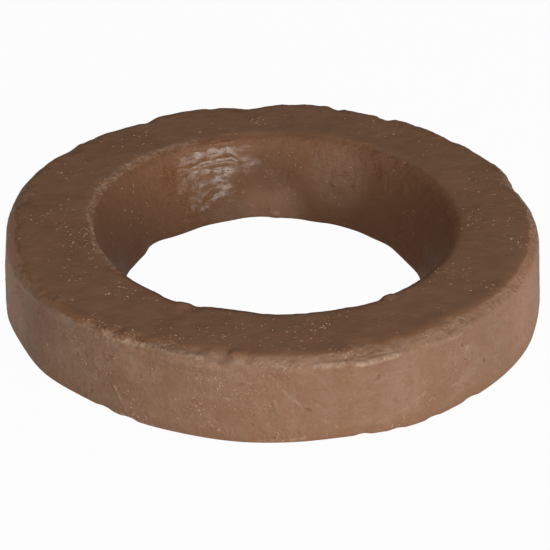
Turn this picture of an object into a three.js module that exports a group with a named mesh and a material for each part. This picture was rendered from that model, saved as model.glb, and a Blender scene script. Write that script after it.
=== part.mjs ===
// Toilet pan seal: one poured ring of soft brown wax.
// A flat annulus with a slightly tapered outer wall and a funnel bore that is widest at the top.
// Millimetres, +Z up. The origin is the middle of the ring's underside.

import * as THREE from "three";

// Driving dimensions of the section
const BASE_DIAMETER = 139.4; // over the outer wall at the underside
const TOP_DIAMETER = 136.6; // over the outer wall at the top face
const HEIGHT = 22.5;
const MOUTH_DIAMETER = 92.5; // the funnel bore at the top face
const BORE_DIAMETER = 77.2; // the funnel bore at the underside
const RIM_ROUNDING = 4; // outer top edge
const MOUTH_ROUNDING = 4.2; // inner top edge
const FOOT_ROUNDING = 1.2; // outer bottom edge
const BORE_ROUNDING = 1.2; // inner bottom edge
const TOP_LEAN = 0.7; // how far the outer top edge leans towards -X

// Fineness of the mesh
const SEGMENTS_ROUND = 120;
const STEPS_IN_TOP_ROUNDING = 6;
const STEPS_IN_BOTTOM_ROUNDING = 3;
const STEPS_UP_WALL = 4;

// The wax was poured and pressed by hand, so no edge is a true circle.
// Each mark is a soft dent or bulge: where it is round the ring in degrees from +X
// towards +Y, how far it reaches each side in degrees, and how far it moves the
// edge away from the axis in millimetres.
const RIM_MARKS = [
  [14, 9, -0.55],
  [28, 8, 0.3],
  [53, 7, 0.6],
  [80, 8, 0.8],
  [98, 8, -1.6],
  [126, 7, -1],
  [160, 16, 0.7],
  [185, 9, -0.4],
  [212, 9, -0.5],
  [244, 7, -0.6],
  [290, 12, 0.4],
  [318, 9, -0.4],
];
const FOOT_MARKS = [
  [40, 12, 0.5],
  [75, 10, -0.6],
  [118, 14, 0.4],
  [150, 9, -0.5],
  [204, 12, -0.5],
  [230, 13, -0.85],
  [264, 14, 0.4],
  [283, 8, -0.3],
  [299, 11, 0.8],
  [349, 11, -0.4],
];
const MOUTH_MARKS = [
  [20, 12, -0.4],
  [66, 12, 0.4],
  [112, 10, -0.5],
  [165, 14, 0.5],
  [240, 9, 0.85],
  [258, 10, -0.9],
  [300, 7, 0.5],
];
const BORE_MARKS = [
  [25, 11, -0.6],
  [47, 8, -0.3],
  [74, 6, -0.5],
  [98, 10, 0.8],
  [128, 8, -0.4],
  [144, 8, 1.4],
  [170, 8, 0.5],
  [215, 14, -0.5],
  [262, 12, 0.5],
  [310, 12, -0.4],
];

// One material: soft brown wax
const WAX = new THREE.MeshStandardMaterial({ color: 0x90684f, roughness: 0.5, metalness: 0 });

// The points of an arc that rounds the corner between two straight edges of the section.
function roundedCorner(before, corner, after, radius, steps) {
  const toBefore = before.clone().sub(corner).normalize();
  const toAfter = after.clone().sub(corner).normalize();
  const halfAngle = Math.acos(toBefore.dot(toAfter)) / 2;
  const setback = radius / Math.tan(halfAngle);
  const start = corner.clone().addScaledVector(toBefore, setback);
  const bisector = toBefore.clone().add(toAfter).normalize();
  const centre = corner.clone().addScaledVector(bisector, radius / Math.sin(halfAngle));
  const sweep = Math.PI - 2 * halfAngle;
  const turn = Math.sign(toAfter.cross(toBefore));
  const points = [];
  for (let step = 0; step <= steps; step += 1) {
    points.push(start.clone().rotateAround(centre, (turn * sweep * step) / steps));
  }
  return points;
}

// Points strictly between two ends of a straight wall.
function pointsBetween(from, to, steps) {
  const points = [];
  for (let step = 1; step < steps; step += 1) {
    points.push(from.clone().lerp(to, step / steps));
  }
  return points;
}

// The closed section: x is the distance from the axis and y the height.
// It runs up the outer wall, in over the top face, down the bore and back along the underside.
function ringSection() {
  const foot = new THREE.Vector2(BASE_DIAMETER / 2, 0);
  const rim = new THREE.Vector2(TOP_DIAMETER / 2, HEIGHT);
  const mouth = new THREE.Vector2(MOUTH_DIAMETER / 2, HEIGHT);
  const bore = new THREE.Vector2(BORE_DIAMETER / 2, 0);
  const footArc = roundedCorner(bore, foot, rim, FOOT_ROUNDING, STEPS_IN_BOTTOM_ROUNDING);
  const rimArc = roundedCorner(foot, rim, mouth, RIM_ROUNDING, STEPS_IN_TOP_ROUNDING);
  const mouthArc = roundedCorner(rim, mouth, bore, MOUTH_ROUNDING, STEPS_IN_TOP_ROUNDING);
  const boreArc = roundedCorner(mouth, bore, foot, BORE_ROUNDING, STEPS_IN_BOTTOM_ROUNDING);
  const outerWall = pointsBetween(footArc.at(-1), rimArc[0], STEPS_UP_WALL);
  const boreWall = pointsBetween(mouthArc.at(-1), boreArc[0], STEPS_UP_WALL);
  return [...footArc, ...outerWall, ...rimArc, ...mouthArc, ...boreWall, ...boreArc, footArc[0]];
}

// How far a list of marks moves an edge at one angle.
function markedOffset(marks, degrees) {
  let offset = 0;
  for (const [centre, reach, outward] of marks) {
    const away = Math.abs(THREE.MathUtils.euclideanModulo(degrees - centre + 180, 360) - 180);
    if (away < reach) {
      offset += outward * Math.cos((Math.PI / 2) * (away / reach)) ** 2;
    }
  }
  return offset;
}

// Moves each vertex by the marks of the edges above and below it, outside or inside.
function pressMarks(geometry) {
  const middleRadius = (TOP_DIAMETER + MOUTH_DIAMETER) / 4;
  const position = geometry.attributes.position;
  const vertex = new THREE.Vector3();
  for (let index = 0; index < position.count; index += 1) {
    vertex.fromBufferAttribute(position, index);
    const radius = Math.hypot(vertex.x, vertex.y);
    const degrees = THREE.MathUtils.radToDeg(Math.atan2(vertex.y, vertex.x));
    const outside = radius > middleRadius;
    const up = vertex.z / HEIGHT;
    const above = markedOffset(outside ? RIM_MARKS : MOUTH_MARKS, degrees);
    const below = markedOffset(outside ? FOOT_MARKS : BORE_MARKS, degrees);
    const scale = (radius + above * up + below * (1 - up)) / radius;
    const lean = outside ? TOP_LEAN * up : 0;
    position.setXYZ(index, vertex.x * scale - lean, vertex.y * scale, vertex.z);
  }
  geometry.computeVertexNormals();
}

// The wax ring, turned about its axis and then marked.
function waxRing() {
  const geometry = new THREE.LatheGeometry(ringSection(), SEGMENTS_ROUND);
  geometry.rotateX(Math.PI / 2);
  pressMarks(geometry);
  const mesh = new THREE.Mesh(geometry, WAX);
  mesh.name = "wax_ring";
  return mesh;
}

const panSeal = new THREE.Group();
panSeal.add(waxRing());

export default panSeal;
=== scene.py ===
"""Toilet pan seal: one poured ring of soft brown wax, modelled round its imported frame.

Metres, +Z up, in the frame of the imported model. The hand-made marks are given in
millimetres and degrees, and turned into metres where they are pressed in.
"""

import logging
import math
import random
from dataclasses import dataclass
from enum import Enum
from functools import cached_property

import bmesh
import bpy
import numpy as np
from mathutils import Euler, Matrix, Vector
from mathutils.bvhtree import BVHTree


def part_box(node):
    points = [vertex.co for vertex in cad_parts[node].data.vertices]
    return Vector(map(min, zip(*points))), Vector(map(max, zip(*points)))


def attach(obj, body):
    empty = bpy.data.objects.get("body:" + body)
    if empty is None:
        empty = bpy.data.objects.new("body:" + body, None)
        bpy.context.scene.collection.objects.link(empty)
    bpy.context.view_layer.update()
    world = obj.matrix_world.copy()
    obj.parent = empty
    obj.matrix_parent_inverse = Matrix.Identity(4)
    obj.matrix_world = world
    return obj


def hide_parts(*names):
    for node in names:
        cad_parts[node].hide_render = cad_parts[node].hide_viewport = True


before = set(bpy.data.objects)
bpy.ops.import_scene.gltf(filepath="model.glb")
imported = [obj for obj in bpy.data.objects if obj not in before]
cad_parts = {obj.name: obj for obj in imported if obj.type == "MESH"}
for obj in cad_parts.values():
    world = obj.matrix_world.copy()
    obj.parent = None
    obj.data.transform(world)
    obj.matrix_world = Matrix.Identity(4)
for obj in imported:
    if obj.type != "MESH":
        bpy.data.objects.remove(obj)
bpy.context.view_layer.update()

MM = 0.001
FULL_TURN = 2 * math.pi
NODE = "wax_ring"
BODY = "root"

Colour = tuple[float, float, float, float]
Route = tuple[tuple[float, float], ...]
Socket = bpy.types.NodeSocket

log = logging.getLogger("pan_seal")


class Edge(Enum):
    """The four edges that run round the ring."""

    FOOT = "outer edge at the underside"
    RIM = "outer edge at the top"
    MOUTH = "inner edge at the top"
    BORE = "inner edge at the underside"


class Face(Enum):
    """The three faces that show on a ring standing on a floor."""

    OUTSIDE = "outer wall"
    TOP = "top face"
    INSIDE = "funnel bore"


@dataclass(frozen=True)
class Mark:
    """A broad soft dent or bulge that a hand left on one edge.

    Attributes:
        degrees: Where it is round the ring, from +X towards +Y.
        reach: How far it spreads from its middle, in degrees.
        outward: How far it moves the edge away from the axis, in millimetres.
        upward: How far it lifts the edge, in millimetres.
    """

    degrees: float
    reach: float
    outward: float
    upward: float = 0.0


@dataclass(frozen=True)
class Dent:
    """A small round chip or lump.

    Attributes:
        face: The face that it is on.
        degrees: Where it is round the ring.
        along: Its height on a wall, or its distance from the axis on the top face, in millimetres.
        reach: How far it spreads, in millimetres.
        depth: How deep it is, in millimetres. A lump has less than nothing.
    """

    face: Face
    degrees: float
    along: float
    reach: float
    depth: float


@dataclass(frozen=True)
class Stroke:
    """A drawn-out gouge, scratch or smear.

    Attributes:
        face: The face that it is on.
        route: Its points, each the degrees round the ring and then the height or distance as in Dent.
        width: How wide it is, in millimetres.
        depth: How deep it is, in millimetres. A smear stands proud and has less than nothing.
    """

    face: Face
    route: Route
    width: float
    depth: float


@dataclass(frozen=True)
class Streak:
    """A drawn-out line of paler colour: mostly a painted highlight along a crest or facet, and in a few
    places a pale scratch or chip.

    Attributes:
        face: The face that it is on.
        route: Its points, as in Stroke.
        width: How wide it is, in millimetres.
        amount: How strong it is.
    """

    face: Face
    route: Route
    width: float
    amount: float


@dataclass(frozen=True)
class Patch:
    """A round patch of one face that differs from the rest.

    Attributes:
        face: The face that it is on.
        degrees: Where it is round the ring.
        along: Its height or distance from the axis, as in Dent.
        reach: How far it spreads, in millimetres.
        amount: How many crumbs lie in it, or how strong it is.
    """

    face: Face
    degrees: float
    along: float
    reach: float
    amount: float


RIM_MARKS = (
    Mark(14, 9, -0.55),
    Mark(28, 8, 0.3),
    Mark(53, 7, 0.6),
    Mark(80, 8, 0.8),
    Mark(98, 8, -1.6),
    Mark(126, 7, -1.0),
    Mark(160, 16, 0.7),
    Mark(185, 9, -0.4),
    Mark(212, 9, -0.5),
    Mark(244, 7, -0.6),
    Mark(290, 12, 0.4),
    Mark(318, 9, -0.4),
)
FOOT_MARKS = (
    Mark(40, 12, 0.5),
    Mark(75, 10, -0.6),
    Mark(118, 14, 0.4),
    Mark(150, 9, -0.5),
    Mark(204, 12, -0.5),
    Mark(230, 13, -0.85),
    Mark(264, 14, 0.4),
    Mark(283, 8, -0.3),
    Mark(299, 11, 0.8),
    Mark(349, 11, -0.4),
)
MOUTH_MARKS = (
    Mark(20, 12, -0.4),
    Mark(66, 12, 0.4),
    Mark(112, 10, -0.5),
    Mark(165, 14, 0.5),
    Mark(240, 9, 0.85),
    Mark(258, 10, -0.9),
    Mark(300, 7, 0.5),
)
BORE_MARKS = (
    Mark(25, 11, -0.6),
    Mark(47, 8, -0.3),
    Mark(74, 6, -0.5),
    Mark(98, 10, 0.8),
    Mark(128, 8, -0.4),
    Mark(144, 8, 1.4),
    Mark(170, 8, 0.5),
    Mark(215, 14, -0.5),
    Mark(262, 12, 0.5),
    Mark(310, 12, -0.4),
)

DENTS = (
    Dent(Face.TOP, 173, 66.5, 3.0, 0.4),
    Dent(Face.TOP, 146, 66.5, 3.0, 0.35),
    Dent(Face.TOP, 123, 66.8, 2.5, 0.5),
    Dent(Face.TOP, 96, 66.5, 2.5, 0.3),
    Dent(Face.TOP, 75, 66.8, 2.2, 0.5),
    Dent(Face.TOP, 62, 66.8, 2.2, 0.5),
    Dent(Face.TOP, 24, 67.0, 2.5, -0.35),
    Dent(Face.TOP, 18, 67.0, 2.5, 0.4),
    Dent(Face.TOP, 229, 67.4, 2.0, 0.14),
    Dent(Face.TOP, 235.5, 67.5, 1.7, 0.16),
    Dent(Face.TOP, 238.5, 67.5, 1.6, -0.2),
    Dent(Face.TOP, 242, 67.4, 1.7, 0.16),
    Dent(Face.TOP, 259.5, 66.9, 2.4, 0.5),
    Dent(Face.TOP, 262.5, 66.9, 2.0, -0.3),
    Dent(Face.OUTSIDE, 279.5, 20.5, 1.6, -0.3),
    Dent(Face.OUTSIDE, 283, 20.4, 1.4, -0.25),
    Dent(Face.OUTSIDE, 285.5, 20.6, 1.4, -0.3),
    Dent(Face.TOP, 288.5, 66.0, 4.0, 0.35),
    Dent(Face.TOP, 309.5, 66.5, 2.4, 0.5),
    Dent(Face.OUTSIDE, 234, 0.8, 2.6, 0.3),
    Dent(Face.OUTSIDE, 240.3, 0.8, 2.4, 0.35),
    Dent(Face.OUTSIDE, 271, 9.3, 1.6, -0.25),
    Dent(Face.OUTSIDE, 303, 1.0, 2.2, 0.3),
    Dent(Face.OUTSIDE, 313.5, 0.8, 2.6, 0.35),
    Dent(Face.OUTSIDE, 288, 1.0, 2.0, 0.35),
    Dent(Face.OUTSIDE, 295, 1.2, 1.8, 0.3),
    Dent(Face.TOP, 243.5, 48.2, 2.4, -0.4),
    Dent(Face.TOP, 247.5, 48.0, 2.2, 0.3),
    Dent(Face.TOP, 305.3, 47.4, 1.8, -0.5),
    Dent(Face.INSIDE, 90.0, 1.8, 1.8, -0.35),
    Dent(Face.INSIDE, 96.0, 15.5, 3.0, 0.35),
    Dent(Face.INSIDE, 88.0, 12.0, 3.6, 0.4),
    Dent(Face.INSIDE, 100.0, 7.0, 3.0, 0.3),
    Dent(Face.INSIDE, 112.0, 4.0, 3.2, 0.4),
    Dent(Face.INSIDE, 118.0, 5.5, 2.6, -0.3),
    Dent(Face.INSIDE, 52.0, 17.5, 2.2, 0.35),
    Dent(Face.INSIDE, 25.0, 8.0, 3.5, 0.4),
    Dent(Face.INSIDE, 12.0, 6.0, 2.6, 0.35),
)

STROKES = (
    Stroke(Face.OUTSIDE, ((213.5, 17.5), (217.0, 16.9), (220.8, 16.6)), 1.1, 0.3),
    Stroke(Face.OUTSIDE, ((212.5, 15.6), (217.0, 15.0), (221.0, 14.9)), 1.0, -0.15),
    Stroke(Face.OUTSIDE, ((203.0, 19.0), (207.0, 15.0), (210.0, 10.0)), 1.0, 0.15),
    Stroke(Face.OUTSIDE, ((225.8, 17.4), (227.3, 14.6)), 0.6, -0.15),
    Stroke(Face.OUTSIDE, ((236.6, 9.0), (238.4, 5.5), (240.3, 1.6)), 0.8, -0.2),
    Stroke(Face.OUTSIDE, ((269.0, 18.8), (272.5, 13.5), (276.0, 9.3)), 0.7, -0.12),
    Stroke(Face.OUTSIDE, ((271.5, 18.9), (275.0, 14.4)), 0.6, 0.12),
    Stroke(Face.OUTSIDE, ((268.9, 19.4), (273.0, 18.9)), 0.9, -0.3),
    Stroke(Face.OUTSIDE, ((270.2, 10.8), (270.6, 9.6), (271.4, 8.6)), 0.8, -0.25),
    Stroke(Face.OUTSIDE, ((287.0, 19.6), (291.5, 20.0), (296.0, 20.4)), 1.2, -0.42),
    Stroke(Face.OUTSIDE, ((279.0, 20.3), (283.0, 20.5), (286.0, 20.4)), 1.0, -0.2),
    Stroke(Face.OUTSIDE, ((305.0, 19.6), (308.5, 19.2), (312.0, 19.7)), 0.9, -0.2),
    Stroke(Face.INSIDE, ((131.0, 16.4), (122.0, 16.9), (113.0, 17.2), (104.0, 17.0)), 0.8, 0.25),
    Stroke(Face.INSIDE, ((127.0, 18.2), (118.0, 18.8), (108.0, 18.7)), 0.7, 0.15),
    Stroke(Face.INSIDE, ((126.0, 14.6), (116.0, 15.3), (107.0, 15.2)), 0.7, 0.15),
    Stroke(Face.INSIDE, ((119.0, 11.0), (111.0, 11.8), (103.0, 11.2)), 0.8, -0.15),
    Stroke(Face.INSIDE, ((122.0, 5.0), (116.0, 7.5), (112.0, 9.0)), 1.2, 0.25),
    Stroke(Face.INSIDE, ((84.0, 18.4), (92.0, 18.0), (99.0, 18.6)), 1.0, 0.2),
    Stroke(Face.INSIDE, ((22.0, 12.0), (17.0, 8.0), (14.0, 3.0)), 1.1, 0.25),
    Stroke(Face.INSIDE, ((30.0, 10.0), (26.0, 6.0), (22.0, 2.0)), 1.0, 0.2),
    Stroke(Face.TOP, ((150.0, 48.0), (163.0, 47.4), (175.0, 47.0), (187.0, 46.9)), 1.0, -0.25),
    Stroke(Face.TOP, ((187.0, 46.9), (196.0, 46.7), (205.0, 46.8), (216.0, 46.9)), 1.1, -0.4),
    Stroke(
        Face.OUTSIDE,
        ((203.0, 20.7), (215.0, 20.9), (236.0, 20.9), (250.0, 20.9), (257.0, 20.6)),
        2.3,
        -0.95,
    ),
    Stroke(Face.TOP, ((287.0, 66.8), (292.0, 66.2), (298.0, 66.4), (304.0, 66.0)), 1.2, 0.12),
    Stroke(
        Face.OUTSIDE,
        ((24.0, 21.0), (45.0, 21.0), (65.0, 21.0), (85.0, 21.0), (104.0, 20.8)),
        2.2,
        -0.35,
    ),
)

FLAKY_STRETCHES = ((226, 256), (276, 312))
CHIP_DEPTHS = (-0.16, -0.1, 0.1, 0.18, 0.26)

CRUMB_PATCHES = (
    Patch(Face.TOP, 195, 52, 7, 34),
    Patch(Face.TOP, 180, 57, 8, 34),
    Patch(Face.TOP, 209, 58, 7, 26),
    Patch(Face.TOP, 226, 53.5, 4, 26),
    Patch(Face.TOP, 255, 60, 6, 28),
    Patch(Face.TOP, 247, 64, 5, 20),
    Patch(Face.TOP, 265, 56, 7, 28),
    Patch(Face.TOP, 281.7, 53.9, 6, 28),
    Patch(Face.TOP, 275, 61, 6, 18),
    Patch(Face.TOP, 359, 53, 7, 24),
    Patch(Face.TOP, 328.6, 50.8, 6, 24),
    Patch(Face.TOP, 350, 63, 7, 28),
    Patch(Face.TOP, 327, 65.4, 5, 20),
    Patch(Face.TOP, 20, 60, 8, 24),
    Patch(Face.TOP, 60, 60, 8, 16),
    Patch(Face.TOP, 94.6, 54, 4, 16),
    Patch(Face.TOP, 131, 56.6, 6, 16),
    Patch(Face.TOP, 155, 60, 8, 20),
    Patch(Face.TOP, 203, 47.3, 2.6, 30),
    Patch(Face.TOP, 190, 47.3, 2.6, 24),
    Patch(Face.TOP, 175, 47.6, 3, 20),
    Patch(Face.TOP, 160, 48.0, 3, 20),
    Patch(Face.TOP, 145, 48.2, 3, 16),
    Patch(Face.TOP, 230, 67.4, 3, 26),
    Patch(Face.TOP, 235, 67.4, 3, 60),
    Patch(Face.TOP, 241, 67.6, 3, 60),
    Patch(Face.TOP, 249, 67.0, 3.4, 44),
    Patch(Face.TOP, 285, 66.6, 3.4, 20),
    Patch(Face.TOP, 303, 66.6, 3.4, 20),
    Patch(Face.OUTSIDE, 261.7, 13.5, 6, 44),
    Patch(Face.OUTSIDE, 254.5, 9, 2.6, 30),
    Patch(Face.OUTSIDE, 258, 5, 3, 14),
    Patch(Face.OUTSIDE, 256, 18, 4.5, 24),
    Patch(Face.OUTSIDE, 238.5, 7, 2.4, 22),
    Patch(Face.OUTSIDE, 226, 16, 3, 16),
    Patch(Face.OUTSIDE, 205, 12, 7, 26),
    Patch(Face.OUTSIDE, 272, 2, 2.8, 16),
    Patch(Face.OUTSIDE, 301.4, 6.4, 3, 26),
    Patch(Face.OUTSIDE, 296, 2.4, 2.4, 12),
    Patch(Face.OUTSIDE, 243, 3, 3.6, 22),
    Patch(Face.OUTSIDE, 252, 2, 3, 14),
    Patch(Face.OUTSIDE, 309, 12, 4, 16),
    Patch(Face.OUTSIDE, 232, 12, 6, 14),
    Patch(Face.OUTSIDE, 60, 11, 9, 20),
    Patch(Face.OUTSIDE, 130, 11, 9, 20),
    Patch(Face.INSIDE, 118, 14, 6, 60),
    Patch(Face.INSIDE, 107, 8, 6, 44),
    Patch(Face.INSIDE, 90, 13, 7, 44),
    Patch(Face.INSIDE, 66, 14, 7, 40),
    Patch(Face.INSIDE, 150, 13, 7, 16),
    Patch(Face.INSIDE, 30, 10, 7, 16),
    Patch(Face.INSIDE, 250, 10, 9, 20),
)
LONE_CRUMBS = 260

# Painted light: patches of the walls laid in the paler sheen colour, at the sides of the outer wall and on
# the bore.
PAINTED_LIGHT_PATCHES = (
    Patch(Face.INSIDE, 92, 1.5, 13, 1.0),
    Patch(Face.INSIDE, 108, 2, 8, 0.6),
    Patch(Face.OUTSIDE, 200, 8, 13, 0.8),
    Patch(Face.OUTSIDE, 338, 12, 14, 1.0),
    Patch(Face.OUTSIDE, 297, 12, 10, 0.5),
    Patch(Face.OUTSIDE, 262, 15, 8, 0.6),
    Patch(Face.INSIDE, 66, 13, 12, 0.7),
    Patch(Face.INSIDE, 117, 12, 11, 0.4),
)
# Painted light: the outer wall warmer and paler at its two sides, and the foot of the bore's far side.
WARM_LIGHT_PATCHES = (
    Patch(Face.OUTSIDE, 190, 12, 26, 1.0),
    Patch(Face.OUTSIDE, 345, 12, 30, 0.5),
    Patch(Face.INSIDE, 92, 1.5, 11, 0.5),
)
# Painted shade: the left of the bore and a patch of its far side, laid darker.
SHADED_PATCHES = (
    Patch(Face.INSIDE, 166, 11, 26, 1.0),
    Patch(Face.INSIDE, 92, 13.5, 9, 0.8),
)
DROOP_PATCHES = (Patch(Face.OUTSIDE, 228, 21, 26, 1.0),)
# Mostly painted highlights: along the crests of the top edges, and on small facets, lumps and nicks of the
# outer wall; a few are pale lines along gouges, and the last a pale chip.
PALE_AND_HIGHLIGHT_STREAKS = (
    Streak(Face.OUTSIDE, ((234.0, 21.3), (241.0, 21.8), (247.0, 22.0), (257.0, 22.0)), 1.2, 1.0),
    Streak(Face.OUTSIDE, ((222.0, 20.6), (228.0, 21.1), (234.0, 21.3)), 1.0, 0.5),
    Streak(Face.OUTSIDE, ((262.5, 21.2), (277.0, 20.9)), 1.3, 0.35),
    Streak(Face.OUTSIDE, ((278.0, 20.4), (283.5, 20.3)), 1.1, 0.7),
    Streak(Face.OUTSIDE, ((286.5, 19.6), (291.5, 20.1), (295.5, 20.5)), 1.0, 0.95),
    Streak(Face.OUTSIDE, ((306.0, 20.0), (311.0, 19.6)), 1.1, 0.5),
    Streak(Face.OUTSIDE, ((231.0, 0.8), (246.0, 0.9)), 0.7, 0.5),
    Streak(Face.OUTSIDE, ((267.0, 1.0), (276.0, 1.3)), 0.8, 0.5),
    Streak(Face.OUTSIDE, ((298.0, 3.0), (303.0, 6.0)), 0.6, 0.5),
    Streak(Face.OUTSIDE, ((225.6, 17.8), (226.6, 16.0), (227.6, 14.2)), 0.5, 0.5),
    Streak(Face.OUTSIDE, ((237.2, 8.6), (238.6, 5.0), (240.3, 1.6)), 0.6, 0.5),
    Streak(Face.OUTSIDE, ((255.0, 16.8), (257.5, 16.2), (259.5, 17.0)), 0.7, 0.4),
    Streak(Face.OUTSIDE, ((269.2, 18.6), (272.5, 13.6), (276.0, 9.4)), 0.6, 0.35),
    Streak(Face.OUTSIDE, ((294.0, 3.8), (298.0, 6.6), (301.5, 8.0)), 0.6, 0.5),
    Streak(Face.OUTSIDE, ((210.5, 19.8), (212.0, 17.4), (215.0, 16.0)), 0.7, 0.3),
    Streak(Face.TOP, ((118.0, 48.2), (135.0, 48.4), (150.0, 48.3)), 2.0, 0.5),
    Streak(Face.TOP, ((150.0, 48.3), (165.0, 47.9), (180.0, 47.5)), 1.8, 0.75),
    Streak(Face.TOP, ((180.0, 47.5), (196.0, 47.3), (214.0, 47.4)), 1.5, 0.85),
    Streak(Face.INSIDE, ((88.6, 2.0), (91.2, 2.2)), 0.8, 1.0),
)
GLOSS_PATCHES = (
    Patch(Face.INSIDE, 129, 15.5, 8, 0.8),
    Patch(Face.INSIDE, 121, 17.0, 8, 1.0),
    Patch(Face.INSIDE, 111, 17.0, 9, 0.9),
    Patch(Face.INSIDE, 101, 17.0, 8, 0.4),
    Patch(Face.INSIDE, 122, 7.5, 9, 0.9),
    Patch(Face.INSIDE, 113, 9, 7, 0.85),
    Patch(Face.INSIDE, 66, 14, 11, 0.5),
)


def deselect_all() -> None:
    """Leaves nothing selected, whatever was."""
    bpy.ops.object.select_all(action="DESELECT")


def make_active(piece: bpy.types.Object) -> None:
    """Selects one object alone and makes it the active one.

    Args:
        piece: The object that the next operators act on.
    """
    deselect_all()
    piece.select_set(True)
    bpy.context.view_layer.objects.active = piece


def places_of(piece: bpy.types.Object) -> np.ndarray:
    """Reads where a mesh's vertices are.

    Args:
        piece: A mesh object in object mode.

    Returns:
        One row of x, y and z for each vertex.
    """
    flat = np.empty(len(piece.data.vertices) * 3)
    piece.data.vertices.foreach_get("co", flat)
    return flat.reshape(-1, 3)


def edit_vertices(piece: bpy.types.Object, chosen: np.ndarray) -> None:
    """Opens a mesh for editing with only the chosen vertices selected.

    Args:
        piece: The mesh object.
        chosen: One true or false for each vertex.
    """
    make_active(piece)
    mesh = piece.data
    mesh.polygons.foreach_set("select", np.zeros(len(mesh.polygons), bool))
    mesh.edges.foreach_set("select", np.zeros(len(mesh.edges), bool))
    mesh.vertices.foreach_set("select", chosen)
    bpy.ops.object.mode_set(mode="EDIT")
    bpy.ops.mesh.select_mode(type="VERT")


def choose_vertices(piece: bpy.types.Object, chosen: np.ndarray) -> None:
    """Selects only the chosen vertices of a mesh that is open for editing.

    Args:
        piece: The mesh object, in edit mode.
        chosen: One true or false for each vertex.
    """
    bpy.ops.mesh.select_all(action="DESELECT")
    vertices = bmesh.from_edit_mesh(piece.data).verts
    vertices.ensure_lookup_table()
    for number in np.flatnonzero(chosen):
        vertices[number].select_set(True)
    bmesh.update_edit_mesh(piece.data, loop_triangles=False, destructive=False)


def finish_modifier(piece: bpy.types.Object, modifier: bpy.types.Modifier) -> None:
    """Applies one modifier to its mesh.

    Args:
        piece: The mesh object.
        modifier: The modifier to apply.
    """
    make_active(piece)
    bpy.ops.object.modifier_apply(modifier=modifier.name)


def between(value: np.ndarray, low: float, high: float) -> np.ndarray:
    """Fades smoothly from 0 at low to 1 at high.

    Args:
        value: What is compared.
        low: Where the fade starts.
        high: Where it ends. It may be lower than low.

    Returns:
        The weights.
    """
    share = np.clip((value - low) / (high - low), 0, 1)
    return share * share * (3 - 2 * share)


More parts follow.
